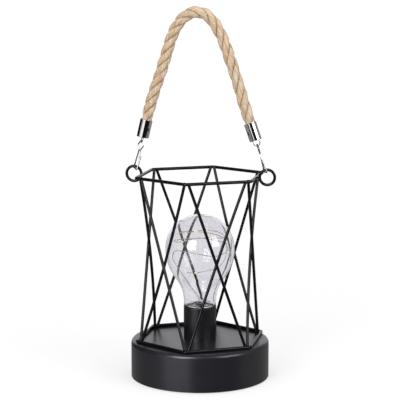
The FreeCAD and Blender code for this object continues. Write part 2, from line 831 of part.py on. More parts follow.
def make_bulb_plug():
    """Black stopper in the collar, bored for the string of lights."""
    body = new_body("bulb_plug")
    plug = f"(size.collar_radius - size.glass_wall - 0.1)"
    revolve(body, [
        ("1.6", f"{HOLDER_TOP} - size.plug_height"),
        (plug, f"{HOLDER_TOP} - size.plug_height"),
        (plug, HOLDER_TOP),
        ("3.2", HOLDER_TOP),
        ("3.2", f"{HOLDER_TOP} + 2.5"),
        ("1.6", f"{HOLDER_TOP} + 2.5"),
    ])
    keep(body, "bulb_plug")


# Where the string goes round the globe: degrees round the axis, degrees above the globe's
# middle, and a 1 where a bead sits
STRING_WAY = [
    (192, -45, 0), (186, -18, 0), (212, 3, 1), (238, 3, 0), (263, 1, 1), (300, -8, 1), (345, -3, 0), (20, 6, 0),
    (52, 8, 1), (97, 13, 1), (131, 4, 1), (165, 12, 0), (205, 22, 1), (250, 30, 0), (300, 31, 1), (345, 24, 0),
    (25, 30, 0), (72, 34, 1), (132, 25, 1), (190, 38, 0), (255, 48, 1), (318, 38, 0), (2, 18, 1), (352, -14, 0),
    (340, -42, 0), (255, -51, 1), (205, -58, 0),
]
STRING_TAPER = 0.08


def light_string_points():
    """The string rises through the neck to the glass, winds round the globe in loose turns
    near the wall, and its end hangs back down inside the turns."""
    centre = number(GLOBE_CENTRE)
    reach = number("size.globe_radius - size.glass_wall - size.string_wall_gap")
    low = number(f"{HOLDER_TOP} - size.plug_height")
    points = [Vector(0, 0, low), Vector(0, 0, number(f"{THROAT_Z} + size.neck_roll"))]
    for index, (round_axis, above, bead) in enumerate(STRING_WAY):
        turn = math.radians(round_axis)
        climb = math.radians(above)
        radius = reach * (1 - STRING_TAPER * index / len(STRING_WAY))
        level = radius * math.cos(climb)
        points.append(Vector(level * math.cos(turn), level * math.sin(turn), centre + radius * math.sin(climb)))
    return points


def make_light_string():
    """One fine lead with beads of light at some of its bends."""
    path = bent_path(light_string_points())[0]
    keep(wire_sweep("light_string", path, "size.string_radius"), "light_string")
    arcs = [edge for edge in path.Edges if isinstance(edge.Curve, Part.Circle)]
    beads = []
    for index, (edge, way) in enumerate(zip(arcs[1:], STRING_WAY)):
        if way[2]:
            middle = (edge.FirstParameter + edge.LastParameter) / 2
            bead = doc.addObject("Part::Ellipsoid", f"bead_{index}")
            bead.setExpression("Radius1", "1.4 * size.bead_radius")
            bead.setExpression("Radius2", "size.bead_radius")
            bead.setExpression("Radius3", "size.bead_radius")
            bead.Placement = Placement(edge.valueAt(middle), Rotation(Z_AXIS, edge.tangentAt(middle)))
            beads.append(cut(f"bead_bored_{index}", bead, doc.getObject("light_string")))
    keep(group("light_beads", beads), "light_beads")


# ---------------------------------------------------------------- leads inside the base

def make_leads():
    """Insulated leads: two from the end contacts' ears over the bay's roof to the board, and
    two from the board through the drum's top and the holder into the bulb's plug."""
    board_top = number(f"{SWITCH_TOP} + size.board_plate")
    back = number("size.board_back")
    roof = number(f"{BAY_ROOF} + size.bay_wall")
    ear = number(f"{BAY_HALF_LENGTH} - size.contact_plate - size.lead_radius - 0.05")
    pitch = number("size.cell_pitch")
    edge = number(f"{BAY_HALF_WIDTH} + size.bay_wall")
    rest = number("size.lead_radius + 0.05")
    near = [
        Vector(ear, pitch - 1.5, roof + 1.2),
        Vector(ear - 1.5, pitch + 4, roof + 1.3),
        Vector(ear - 7, edge + 2, roof + 0.6),
        Vector(ear - 13, back - 8, roof - 4),
        Vector(ear - 16, back - 5, board_top + rest),
    ]
    far = [
        Vector(-ear, 1.5 - pitch, roof + 1.2),
        Vector(-ear + 2, 8 - pitch, roof + 1.6),
        Vector(-ear + 6, 6, roof + 1.2),
        Vector(-ear + 11, edge - 3, roof + 1.9),
        Vector(-ear + 14, edge + 4, roof - 1),
        Vector(-ear + 16, back - 5, board_top + rest),
    ]
    feeds = [wire_sweep(f"feed_{index}", bent_path(points)[0], "size.lead_radius")
             for index, points in enumerate((near, far))]
    keep(group("battery_leads", feeds), "battery_leads")
    rise = number(f"{HOLDER_TOP} - size.plug_height")
    tails = []
    for side in (-1, 1):
        offset = side * number("size.lead_radius + size.string_radius + 0.05")
        points = [
            Vector(3 * offset, back - 5, board_top + rest),
            Vector(3 * offset, back - 8, roof + 3),
            Vector(2 * offset, 12, roof + 5.5),
            Vector(offset, 0, roof + 6.5),
            Vector(offset, 0, rise + 1.5),
        ]
        tails.append(wire_sweep(f"tail_{side + 1}", bent_path(points)[0], "size.lead_radius"))
    keep(group("bulb_leads", tails), "bulb_leads")


# ---------------------------------------------------------------- wire cage

def hexagon_corner(index, height):
    """Corner of the cage's hexagon, counted from the right one, the back ones first."""
    angle = math.radians(number("size.hexagon_turn") + 60 * index)
    radius = number(HEXAGON_RADIUS)
    return Vector(radius * math.cos(angle), radius * math.sin(angle), height)


def make_ring(name, height):
    """Hexagon of bent wire, closed by a weld."""
    corners = [hexagon_corner(index, height) for index in range(6)]
    path = bent_path(corners, number("size.hexagon_bend"), closed=True)[0]
    keep(wire_sweep(name, path, "size.ring_wire"), name)


def make_cage():
    """Each side of the cage has two slanting wires, lapped against the rings from inside and
    welded. The outer one is straight. The inner one is bowed in by a wire's thickness, so that
    it passes behind the other where they cross."""
    low = number(f"{RING_LOW} - size.lap_overrun")
    high = number(f"{RING_HIGH} + size.lap_overrun")
    setback = number("size.wire_setback")
    lap = number("size.ring_wire + size.cage_wire")
    bow = number("2 * size.cage_wire + size.crossing_gap")
    for face in range(6):
        left = hexagon_corner(face, 0)
        right = hexagon_corner(face + 1, 0)
        along = (right - left).normalize()
        inward = Vector(-along.y, along.x, 0)
        left_place = left + along * setback + inward * lap
        right_place = right - along * setback + inward * lap
        middle = (left_place + right_place) * 0.5 + Z_AXIS * (low + high) / 2
        outer = Part.LineSegment(right_place + Z_AXIS * low, left_place + Z_AXIS * high)
        inner = Part.Arc(left_place + Z_AXIS * low, middle + inward * bow, right_place + Z_AXIS * high)
        for name, curve in (("cage_wire_outer", outer), ("cage_wire_inner", inner)):
            label = f"{name}_{face + 1}"
            keep(wire_sweep(label, Part.Wire([curve.toShape()]), "size.cage_wire"), label)


# ---------------------------------------------------------------- handle

LEFT = -1
RIGHT = 1
HANDLE_TURN = "(size.hexagon_turn - 30)"
LUG_REACH = f"({HEXAGON_RADIUS} * cos(30) + size.ring_wire + size.lug_wire + size.lug_radius)"


def handle_point(reach, height, across=0.0):
    """A point of the upright plane through both lugs: reach to the right along the plane,
    and across it to the back."""
    turn = math.radians(number(HANDLE_TURN))
    return Vector(reach * math.cos(turn) - across * math.sin(turn),
                  reach * math.sin(turn) + across * math.cos(turn), height)


def make_lug(side):
    """Ring lug, welded upright to the middle of one side of the top hexagon."""
    name = "left_lug_ring" if side == LEFT else "right_lug_ring"
    ring = doc.addObject("Part::Torus", name)
    ring.setExpression("Radius1", "size.lug_radius")
    ring.setExpression("Radius2", "size.lug_wire")
    ring.Placement.Rotation = Rotation(Z_AXIS, handle_point(0, 0, 1))
    ring.setExpression("Placement.Base.x", f"{side} * {LUG_REACH} * cos({HANDLE_TURN})")
    ring.setExpression("Placement.Base.y", f"{side} * {LUG_REACH} * sin({HANDLE_TURN})")
    ring.setExpression("Placement.Base.z", RING_HIGH)
    keep(ring, name)


def side_value(name, side):
    return number(f"size.{name}_left" if side == LEFT else f"size.{name}_right")


def leaning(side, tilt):
    """Unit direction that rises and leans in towards the middle by tilt degrees, as reach
    and height."""
    return -side * math.sin(math.radians(tilt)), math.cos(math.radians(tilt))


def clip_seat(side):
    """Middle of the clip's bottom bar, drawn up under the lug's wire."""
    lean = leaning(side, side_value("clip_tilt", side))
    radius = number("size.lug_radius - size.lug_wire - size.clip_wire - size.clip_slack")
    return side * number(LUG_REACH) + lean[0] * radius, number(RING_HIGH) + lean[1] * radius


def clip_apex(side):
    reach, height = clip_seat(side)
    lean = leaning(side, side_value("clip_tilt", side))
    length = number("size.clip_length")
    return reach + lean[0] * length, height + lean[1] * length


def ferrule_foot(side):
    """Middle of the ferrule's bottom face: its eye hangs over the clip's apex."""
    reach, height = clip_apex(side)
    lean = leaning(side, side_value("ferrule_tilt", side))
    lift = number("size.eye_drop - size.eye_wire - size.clip_wire - size.eye_slack")
    return reach + lean[0] * lift, height + lean[1] * lift


def local_frame(side, tilt, twist, origin):
    """Placement whose Z leans with the part and whose X is turned about it by twist."""
    lean = leaning(side, tilt)
    upward = handle_point(lean[0], lean[1])
    sideways = handle_point(1, 0)
    frame = Rotation(sideways, upward.cross(sideways), upward, "ZXY")
    return Placement(handle_point(*origin), frame.multiply(Rotation(Z_AXIS, twist)))


def clip_path(side):
    """A wide end round the lug, a waist, a small pointed eye for the ferrule's eye, and two
    free ends that lie side by side as the latch. The wire is wrung a little between the wide
    end and the waist."""
    half = number("size.clip_half_width")
    waist = number("size.clip_waist")
    length = number("size.clip_length")
    eye_half = number("size.clip_eye_half_width")
    eye_height = waist + 0.55 * (length - waist)
    wire = number("size.clip_wire")
    tip = number("size.clip_tip_half_width")
    pinch = wire + number("size.hole_play")
    latch = number("size.clip_latch")
    leg = pinch + (half - pinch) * (waist - latch + 1.5) / waist
    bends = [
        Vector(leg + 2 * wire, 0, latch + 1.5),
        Vector(half, 0, 0),
        Vector(-half, 0, 0),
        Vector(-pinch, 0, waist),
        Vector(-eye_half, 0, eye_height),
        Vector(-tip, 0, length),
        Vector(tip, 0, length),
        Vector(eye_half, 0, eye_height),
        Vector(pinch, 0, waist),
        Vector(leg, 0, latch - 1.5),
    ]
    foot_twist = side_value("clip_twist", side)
    eye_twist = side_value("clip_eye_twist", side)
    turned = []
    for bend in bends:
        share = min(max(bend.z / waist, 0), 1)
        turned.append(Rotation(Z_AXIS, foot_twist + (eye_twist - foot_twist) * share).multVec(bend))
    frame = local_frame(side, side_value("clip_tilt", side), 0, clip_seat(side))
    return bent_path([frame.multVec(bend) for bend in turned], number("size.clip_bend"))[0]


def make_clip(side):
    """Snap clip of bent spring wire."""
    name = "left_clip" if side == LEFT else "right_clip"
    keep(wire_sweep(name, clip_path(side), "size.clip_wire"), name)


def make_ferrule(side):
    """Polished cup on the rope's end, its floor pierced for the eye."""
    name = "left_ferrule" if side == LEFT else "right_ferrule"
    body = new_body(name)
    bore = "(size.ferrule_radius - size.ferrule_wall)"
    revolve(body, [
        ("0", "0"),
        ("size.ferrule_radius", "0"),
        ("size.ferrule_radius", "size.ferrule_length"),
        (bore, "size.ferrule_length"),
        (bore, "size.ferrule_floor"),
        ("0", "size.ferrule_floor"),
    ])

    def eye_holes(sketch):
        for sign in ("", "-"):
            circle(sketch, f"{sign}size.eye_radius", "0", "size.eye_wire + size.hole_play")

    pocket(body, eye_holes, "size.ferrule_floor", "size.ferrule_floor + 1")
    round_edges(body, circle_edge_at("0", "size.ferrule_radius"), "0.4")
    body.Placement = ferrule_frame(side)
    keep(body, name)


def ferrule_frame(side):
    """The left eye is seen nearly on edge from the front and the right one on its face."""
    return local_frame(side, side_value("ferrule_tilt", side), side_value("eye_twist", side), ferrule_foot(side))


def eye_path(side):
    """A staple: two legs and a half circle."""
    radius = number("size.eye_radius")
    drop = number("size.eye_drop")
    root = number("size.ferrule_floor + size.eye_root")
    legs = drop - radius
    bottom = Part.Arc(Vector(-radius, 0, -legs), Vector(0, 0, -drop), Vector(radius, 0, -legs))
    path = Part.Wire([
        Part.LineSegment(Vector(-radius, 0, root), Vector(-radius, 0, -legs)).toShape(),
        bottom.toShape(),
        Part.LineSegment(Vector(radius, 0, -legs), Vector(radius, 0, root)).toShape(),
    ])
    return path.transformGeometry(ferrule_frame(side).toMatrix())


def make_eye(side):
    """Eye of fine wire, its two legs up through the ferrule's floor."""
    name = "left_eye" if side == LEFT else "right_eye"
    keep(wire_sweep(name, eye_path(side), "size.eye_wire"), name)


# Route of the rope between its first and last straight run: reach from the middle of the
# lamp and height above the rope's left end. The handle is drawn up to a blunt point.
ROPE_REACH = [-32.6, -24.4, -16.6, -7.4, 3.4, 12.6, 18.9, 25.9, 33.3]
ROPE_RISE = [57.2, 85.2, 98.0, 104.4, 103.8, 95.6, 84.0, 65.4, 43.2]


def rope_points():
    spread = number("size.handle_span") / 49.0
    ends = []
    for side, run in ((LEFT, "size.rope_first_run"), (RIGHT, "size.rope_last_run")):
        foot = ferrule_foot(side)
        lean = leaning(side, side_value("ferrule_tilt", side))
        for distance in (number("size.rope_seat"), number(f"size.rope_seat + {run}")):
            ends.append((foot[0] + lean[0] * distance, foot[1] + lean[1] * distance))
    datum = ends[0][1]
    middle = [(reach * spread, datum + rise) for reach, rise in zip(ROPE_REACH, ROPE_RISE)]
    return [ends[0], ends[1]] + middle + [ends[3], ends[2]]


def make_rope():
    """Laid rope from ferrule to ferrule. It stays a plain tube here."""
    points = rope_points()
    path, radii = bent_path([handle_point(*point) for point in points])
    sweep = wire_sweep("handle_rope", path, "size.rope_radius")
    doc.recompute()
    section = math.pi * number("size.rope_radius") ** 2
    print("rope points", [(round(point[0], 2), round(point[1], 2)) for point in points])
    print("rope radii", [round(radius, 1) for radius in radii])
    print(f"rope length {path.Length:.1f}, volume over section x length "
          f"{sweep.Shape.Volume / (section * path.Length):.4f}")
    keep(sweep, "handle_rope")


# ---------------------------------------------------------------- assembly

make_base_shell()
make_cover_posts()
make_bottom_cover()
make_cover_screws()
make_rubber_feet()
make_battery_door()
make_battery_cells()
make_contacts()
make_circuit_board()
make_switch()
make_lamp_holder()
make_holder_screws()
make_bulb_glass()
make_bulb_plug()
make_light_string()
make_leads()
make_ring("bottom_ring", number(RING_LOW))
make_ring("top_ring", number(RING_HIGH))
make_cage()
for hand in (LEFT, RIGHT):
    make_lug(hand)
    make_clip(hand)
    make_ferrule(hand)
    make_eye(hand)
make_rope()
doc.recompute()

# ---------------------------------------------------------------- checks and files

for item in doc.Objects:
    if "Invalid" in item.State or "Error" in item.State:
        raise RuntimeError(f"{item.Label} did not build: {item.State}")
for item in SUBPARTS:
    if item.Shape.isNull() or not item.Shape.isValid() or not item.Shape.Solids:
        raise RuntimeError(f"{item.Label} is not a valid solid")

os.makedirs("parts", exist_ok=True)
for item in SUBPARTS:
    item.Shape.exportStep(f"parts/{item.Label}.step")
print(len(SUBPARTS), "sub-parts")
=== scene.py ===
import bmesh
import bpy
import math
import random
from mathutils import Matrix, Vector


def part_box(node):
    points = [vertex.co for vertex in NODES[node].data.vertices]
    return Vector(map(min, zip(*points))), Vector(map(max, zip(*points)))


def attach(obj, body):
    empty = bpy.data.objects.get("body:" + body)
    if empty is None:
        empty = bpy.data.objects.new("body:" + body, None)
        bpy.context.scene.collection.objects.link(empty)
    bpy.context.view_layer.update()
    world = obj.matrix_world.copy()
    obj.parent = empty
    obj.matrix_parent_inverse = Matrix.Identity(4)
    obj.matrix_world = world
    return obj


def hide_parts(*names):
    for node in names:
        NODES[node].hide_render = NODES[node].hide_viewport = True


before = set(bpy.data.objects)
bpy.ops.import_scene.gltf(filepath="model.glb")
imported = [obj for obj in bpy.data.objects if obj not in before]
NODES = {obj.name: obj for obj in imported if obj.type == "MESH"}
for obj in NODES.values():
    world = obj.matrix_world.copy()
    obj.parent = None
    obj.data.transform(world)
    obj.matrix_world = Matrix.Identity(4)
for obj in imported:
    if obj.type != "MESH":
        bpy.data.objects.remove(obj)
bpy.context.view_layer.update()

# %% [markdown]
# A lantern table lamp: a black drum base, a clear bulb in a short black holder, a cage of
# crossed wires round it and a rope handle that hangs on two ring lugs. The solids come from
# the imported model. This script dresses them: it gives every solid a finish, and it makes anew
# the pieces whose look a plain solid can't carry, such as the laid rope and the blown glass.

# %% Lengths in millimetres
MM = 0.001

# %% [markdown]
# The camera comes first, because everything after it is judged by its view. It stands a
# little over a metre and a quarter in front of the lamp and looks down at it by about nine
# degrees, so the drum's top shows as a narrow ellipse. The lens is long, as for a catalogue
# picture, and that keeps the cage's wires nearly parallel.

# %% Camera
CAMERA_BACK, CAMERA_HEIGHT = 1266.62, 353.16
LOOK_DOWN = 0.15512
camera_data = bpy.data.cameras.new("catalogue_camera")
camera_data.sensor_fit = "HORIZONTAL"
camera_data.sensor_width = 36.0
camera_data.lens = 133.955
camera_data.clip_start = 0.05
camera_data.clip_end = 40.0
camera = bpy.data.objects.new("catalogue_camera", camera_data)
camera.location = (0.0, -CAMERA_BACK * MM, CAMERA_HEIGHT * MM)
camera.rotation_euler = (math.radians(90.0) - LOOK_DOWN, 0.0, 0.0)
bpy.context.scene.collection.objects.link(camera)
bpy.context.scene.camera = camera
print("camera lens", round(camera_data.lens), "mm,", round(math.degrees(LOOK_DOWN), 1), "degrees down")

# %% [markdown]
# A material in Blender is a small graph of nodes. One function adds any node, sets its
# values and draws its links, so that each finish below reads as a short recipe. Colours are
# written as the hex values a picture editor shows, and one function turns them to the linear
# values that the renderer works in.

# %% Node and colour helpers
def empty_graph(owner):
    """Takes away the nodes that a new material or world starts with."""
    owner.use_nodes = True
    owner.node_tree.nodes.clear()
    return owner


def add_node(material, kind, settings=None, links=None):
    """Adds a node. A setting is a property of the node, or else the value of a socket."""
    made = material.node_tree.nodes.new(kind)
    for name, value in (settings or {}).items():
        if isinstance(name, str) and name in made.bl_rna.properties:
            setattr(made, name, value)
        else:
            made.inputs[name].default_value = value
    for socket, source in (links or {}).items():
        material.node_tree.links.new(source, made.inputs[socket])
    return made


def linear(hex_colour):
    """An sRGB hex colour as linear red, green, blue and alpha."""
    channels = [int(hex_colour[i:i + 2], 16) / 255 for i in (1, 3, 5)]
    return [c / 12.92 if c <= 0.04045 else ((c + 0.055) / 1.055) ** 2.4 for c in channels] + [1.0]


def new_finish(name, **values):
    """A material with a Principled shader wired to its output."""
    material = empty_graph(bpy.data.materials.new(name))
    sockets = {key.replace("_", " ").title().replace("Ior", "IOR"): value
               for key, value in values.items()}
    shader = add_node(material, "ShaderNodeBsdfPrincipled", sockets)
    add_node(material, "ShaderNodeOutputMaterial", links={"Surface": shader.outputs["BSDF"]})
    return material, shader


def object_noise(material, feature_mm, detail=3.0, roughness=0.5, stretch=(1.0, 1.0, 1.0)):
    """Noise whose blotches are about feature_mm across on the real object."""
    place = add_node(material, "ShaderNodeTexCoord")
    squeeze = add_node(material, "ShaderNodeMapping", {"Scale": stretch},
                       {"Vector": place.outputs["Object"]})
    return add_node(material, "ShaderNodeTexNoise",
                    {"Scale": 1000.0 / feature_mm, "Detail": detail, "Roughness": roughness},
                    {"Vector": squeeze.outputs["Vector"]}).outputs["Fac"]


def remap(material, source, low, high, from_low=0.3, from_high=0.7):
    """Turns the stretch from_low..from_high of a pattern into low..high."""
    return add_node(material, "ShaderNodeMapRange",
                    {"From Min": from_low, "From Max": from_high, "To Min": low, "To Max": high},
                    {"Value": source}).outputs["Result"]


def add_bump(material, shader, source, depth_mm, strength=1.0):
    """Relief of a real depth from a 0 to 1 pattern."""
    relief = add_node(material, "ShaderNodeBump", {"Strength": strength, "Distance": depth_mm * MM},
                      {"Height": source})
    material.node_tree.links.new(relief.outputs["Normal"], shader.inputs["Normal"])


def blend_colours(material, share, first, second):
    """A colour between two. Each is a hex colour or the colour output of another node."""
    blend = add_node(material, "ShaderNodeMix", {"data_type": "RGBA"}, {"Factor": share})
    sockets = [socket for socket in blend.inputs if socket.type == "RGBA"]
    for socket, colour in zip(sockets, (first, second)):
        if isinstance(colour, str):
            socket.default_value = linear(colour)
        else:
            material.node_tree.links.new(colour, socket)
    return [socket for socket in blend.outputs if socket.type == "RGBA"][0]


def two_tone(material, shader, source, first, second, from_low=0.3, from_high=0.7):
    """The shader's colour drifts between two hex colours with a pattern."""
    share = remap(material, source, 0.0, 1.0, from_low, from_high)
    colour = blend_colours(material, share, first, second)
    material.node_tree.links.new(colour, shader.inputs["Base Color"])


def patchy_roughness(material, shader, source, low, high, from_low=0.3, from_high=0.7):
    """The shader's roughness drifts between two values with a pattern."""
    drift = remap(material, source, low, high, from_low, from_high)
    material.node_tree.links.new(drift, shader.inputs["Roughness"])


print("sRGB #808080 is linear", round(linear("#808080")[0], 4))

# %% [markdown]
# New pieces are built with bmesh, Blender's mesh workshop. One helper turns a finished bmesh
# into an object at the origin, with its finish. The other makes it a piece of the lamp: it
# smooths the shading and says which moving body carries the piece.

# %% From bmesh to piece
def mesh_object(name, tool, material):
    """Turns a finished bmesh into an object of the scene, with one material."""
    mesh = bpy.data.meshes.new(name)
    tool.to_mesh(mesh)
    tool.free()
    mesh.materials.append(material)
    made = bpy.data.objects.new(name, mesh)
    bpy.context.scene.collection.objects.link(made)
    return made


def finish_piece(name, tool, material, body, smooth_angle):
    """Makes a piece of the lamp, smooth where its faces meet at less than an angle."""
    sharp = math.radians(smooth_angle)
    for face in tool.faces:
        face.smooth = True
    for edge in tool.edges:
        edge.smooth = len(edge.link_faces) < 2 or edge.calc_face_angle(0.0) < sharp
    piece = mesh_object(name, tool, material)
    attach(piece, body)
    print(name, len(piece.data.polygons), "faces")
    return piece


print("pieces are made at the origin, in metres")

# %% [markdown]
# The handle is three-strand jute rope. Such a rope is laid: fibres are spun to yarns, yarns
# are twisted to strands, and the strands are wound round each other the other way, so the
# yarns on the outside end up parallel to the rope. The route is one NURBS curve through the
# same control points as the solid tube. It leaves the left ferrule, rises to a blunt top a
# little left of the middle and comes down to the right ferrule.

# %% Rope route
def line_length(points):
    """The length of a line of points."""
    return sum((after - before).length for before, after in zip(points, points[1:]))


HEXAGON_TURN = 17.85
ROPE_TURN = math.radians(HEXAGON_TURN - 30.0)
ROPE_ROUTE = [
    (-49.86, 211.65), (-43.29, 239.89), (-32.6, 268.85), (-24.4, 296.85), (-16.6, 309.65),
    (-7.4, 316.05), (3.4, 315.45), (12.6, 307.25), (18.9, 295.65), (25.9, 277.05),
    (33.3, 254.85), (40.16, 231.72), (47.43, 210.96),
]
route_curve = bpy.data.curves.new("rope_route", "CURVE")
route_curve.dimensions = "3D"
route_curve.resolution_u = 32
spline = route_curve.splines.new("NURBS")
spline.points.add(len(ROPE_ROUTE) - 1)
for point, (reach, height) in zip(spline.points, ROPE_ROUTE):
    point.co = (reach * math.cos(ROPE_TURN) * MM, reach * math.sin(ROPE_TURN) * MM, height * MM, 1.0)
spline.order_u = 3
spline.use_endpoint_u = True
route_object = bpy.data.objects.new("rope_route", route_curve)
bpy.context.scene.collection.objects.link(route_object)
bpy.context.view_layer.update()
route = [vertex.co.copy() for vertex in bpy.data.meshes.new_from_object(route_object).vertices]
bpy.data.objects.remove(route_object)

# %% [markdown]
# The curve's own points lie closer together in some places than in others. Walking along it
# gives stations at even steps. The rope bends in one upright plane only, so the plane's normal
# and the direction across the route make a frame that never twists.

# %% Stations along the rope
STATION = 0.6


def even_points(points, step):
    """Walks a line of points and returns evenly spaced ones."""
    total = line_length(points)
    count = round(total / step)
    result = []
    index, walked = 0, 0.0
    for station in range(count + 1):
        distance = total * station / count
        span = points[index + 1] - points[index]
        while index < len(points) - 2 and walked + span.length < distance:
            walked += span.length
            index += 1
            span = points[index + 1] - points[index]
        result.append(points[index] + span * min((distance - walked) / span.length, 1.0))
    return result


stations = even_points(route, STATION * MM)
last = len(stations) - 1
plane_normal = Vector((-math.sin(ROPE_TURN), math.cos(ROPE_TURN), 0.0))
tangents = [(stations[min(index + 1, last)] - stations[max(index - 1, 0)]).normalized()
            for index in range(last + 1)]
sides = [tangent.cross(plane_normal) for tangent in tangents]
print(len(stations), "stations")

# %% [markdown]
# A laid rope is never quite even. Its ferrules squeeze it, and outside them it swells to a
# little over 10 mm. The swelling, and the small drifts of the strands further on, are eased
# from one value to the next, so that no step shows.

# %% Swelling and drift
SQUEEZED, SWOLLEN = 4.65, 5.2
SQUEEZED_LENGTH, SWELL_LENGTH = 14.4, 4.5
luck = random.Random(7)


def ease_in(share):
    """0 below 0, 1 above 1, and a smooth step between."""
    share = min(max(share, 0.0), 1.0)
    return share * share * (3 - 2 * share)


def slow_noise(count, spacing):
    """Random drift between -1 and 1, eased between knots that lie spacing stations apart."""
    knots = [luck.uniform(-1, 1) for _ in range(count // spacing + 3)]
    values = []
    for index in range(count):
        share, base = math.modf(index / spacing)
        values.append(knots[int(base)] * (1 - ease_in(share)) + knots[int(base) + 1] * ease_in(share))
    return values


def rope_radius(index):
    """The rope's outer radius in millimetres at a station."""
    from_end = min(index, last - index) * STATION
    return SQUEEZED + (SWOLLEN - SQUEEZED) * ease_in((from_end - SQUEEZED_LENGTH) / SWELL_LENGTH)


print("rope radius", rope_radius(0), "mm at its ends and", rope_radius(last // 2), "mm at its top")

# %% [markdown]
# The lay is an angle that grows along the rope: a full turn in 32 mm in the left leg, and in
# 38 mm in the right one, where the rope has opened a little. The change lies round the top.
# It turns to the right, as on most rope, so the lines between the strands climb to the right.

# %% Lay
LAY_LEFT, LAY_RIGHT = 32.0, 38.0
CHANGE_FROM, CHANGE_SHARE = 0.35, 0.3
lay_angles = [0.0]
for index in range(last):
    opened = ease_in((index / last - CHANGE_FROM) / CHANGE_SHARE)
    lay_length = LAY_LEFT + (LAY_RIGHT - LAY_LEFT) * opened
    lay_angles.append(lay_angles[-1] + math.tau * STATION / lay_length)
print("turns of the lay", round(lay_angles[-1] / math.tau, 2))

# %% [markdown]
# Each strand is drawn as rings of points round its own centre, joined to a tube. The rings
# are wider than deep, because packed strands press each other flat, and they carry a ridge
# for each yarn. The yarns wind about the strand as the strand winds about the rope.
# Attributes keep how far out a point lies, where it is on its yarn and its place among the
# fibres, for the colour and for the painted shade in the grooves and between the yarns. That
# place changes slowly along the fibres and fast across them, so that streaks come out long.

# %% Strands
STRAND_DEPTH, STRAND_WIDTH = 0.51, 0.62
STRAND_SWELL, SWELL_KNOTS = 0.03, 22
LAY_DRIFT, DRIFT_KNOTS = 0.09, 30
YARNS, YARN_RELIEF, YARN_TURNS = 8, 0.13, 1.94
FIBRES_ROUND, FIBRES_ALONG, STRANDS_APART = 2.8, 0.12, 9
RING_POINTS = 32

rope_tool = bmesh.new()
out_layer = rope_tool.verts.layers.float.new("how_far_out")
yarn_layer = rope_tool.verts.layers.float.new("on_yarn")
fibre_layer = rope_tool.verts.layers.float_vector.new("along_fibre")
for strand in range(3):
    swell, drift = slow_noise(last + 1, SWELL_KNOTS), slow_noise(last + 1, DRIFT_KNOTS)
    rings = []
    for index, centre in enumerate(stations):
        lay = lay_angles[index] + math.tau * strand / 3 + LAY_DRIFT * drift[index]
        spoke = plane_normal * math.cos(lay) + sides[index] * math.sin(lay)
        turned = tangents[index].cross(spoke)
        radius = rope_radius(index) * (1.0 + STRAND_SWELL * swell[index])
        ring = []
        for step in range(RING_POINTS):
            around = math.tau * step / RING_POINTS
            phase = around + YARN_TURNS * lay
            yarn = abs(math.sin(0.5 * YARNS * phase))
            size = 1.0 - YARN_RELIEF * (1.0 - yarn)
            deep, wide = math.cos(around) * STRAND_DEPTH, math.sin(around) * STRAND_WIDTH
            arm = (spoke * (1.0 - STRAND_DEPTH) + (spoke * deep + turned * wide) * size) * radius
            vert = rope_tool.verts.new(centre + arm * MM)
            vert[out_layer] = arm.length / radius
            vert[yarn_layer] = yarn
            vert[fibre_layer] = (FIBRES_ROUND * math.cos(phase), FIBRES_ROUND * math.sin(phase),
                                 FIBRES_ALONG * index * STATION + STRANDS_APART * strand)
            ring.append(vert)
        rings.append(ring)
    for first, second in zip(rings, rings[1:]):
        for step in range(RING_POINTS):
            after = (step + 1) % RING_POINTS
            rope_tool.faces.new((first[step], first[after], second[after], second[step]))
    rope_tool.faces.new(rings[0])
    rope_tool.faces.new(rings[-1])
bmesh.ops.recalc_face_normals(rope_tool, faces=rope_tool.faces)
print("strand faces", len(rope_tool.faces))

# %% [markdown]
# Jute is a plant fibre, straw-coloured when fresh. The yarns are coarse and uneven. The colour
# follows the attributes, with fine streaks on top. Painted shade darkens the valleys between
# the yarns, and thin brown lines of painted shade, broken up by noise, run in the grooves
# between the strands. The sheen stands for the short fibres that stand up and catch light at
# the rope's edge.

# %% Jute
jute, shader = new_finish("laid_jute", roughness=0.9, ior=1.45, sheen_weight=0.2, sheen_roughness=0.5)
how_far_out = add_node(jute, "ShaderNodeAttribute", {"attribute_name": "how_far_out"}).outputs["Fac"]
on_yarn = add_node(jute, "ShaderNodeAttribute", {"attribute_name": "on_yarn"}).outputs["Fac"]
along_fibre = add_node(jute, "ShaderNodeAttribute", {"attribute_name": "along_fibre"}).outputs["Vector"]
streaks = add_node(jute, "ShaderNodeTexNoise", {"Scale": 0.6, "Detail": 7.0, "Roughness": 0.72},
                   {"Vector": along_fibre}).outputs["Fac"]
straw = blend_colours(jute, remap(jute, streaks, 0.0, 1.0, 0.34, 0.62), "#b99770", "#efdec5")
patches = remap(jute, object_noise(jute, 9.0, detail=2.0), 0.0, 0.45, 0.45, 0.7)
tinted = blend_colours(jute, patches, straw, "#d9ab7c")
# Painted shade: the valleys between the yarns are darkened towards #ad8a64.
yarn_valley_shaded = blend_colours(jute, remap(jute, on_yarn, 0.6, 0.0, 0.0, 0.5), tinted, "#ad8a64")
# Painted shade: the grooves between the strands are darkened towards #946f49, broken up by noise.
groove = remap(jute, how_far_out, 0.8, 0.0, 0.68, 0.83)
uneven = remap(jute, object_noise(jute, 4.0, detail=2.0), 0.45, 1.0, 0.4, 0.6)
groove_shade = add_node(jute, "ShaderNodeMath", {"operation": "MULTIPLY"}, {0: groove, 1: uneven}).outputs[0]
groove_shaded = blend_colours(jute, groove_shade, yarn_valley_shaded, "#946f49")
jute.node_tree.links.new(groove_shaded, shader.inputs["Base Color"])
add_bump(jute, shader, streaks, 0.3, 0.8)
rope = finish_piece("jute_rope", rope_tool, jute, "handle", 80.0)
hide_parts("handle_rope")

# %% [markdown]
# Cut fibres stand up from a jute rope and blur its outline. Each is a thin cone, one to two
# and a half millimetres long, that starts inside the strands and leans along the rope, more
# or less, and to one side. They are a separate light mesh.

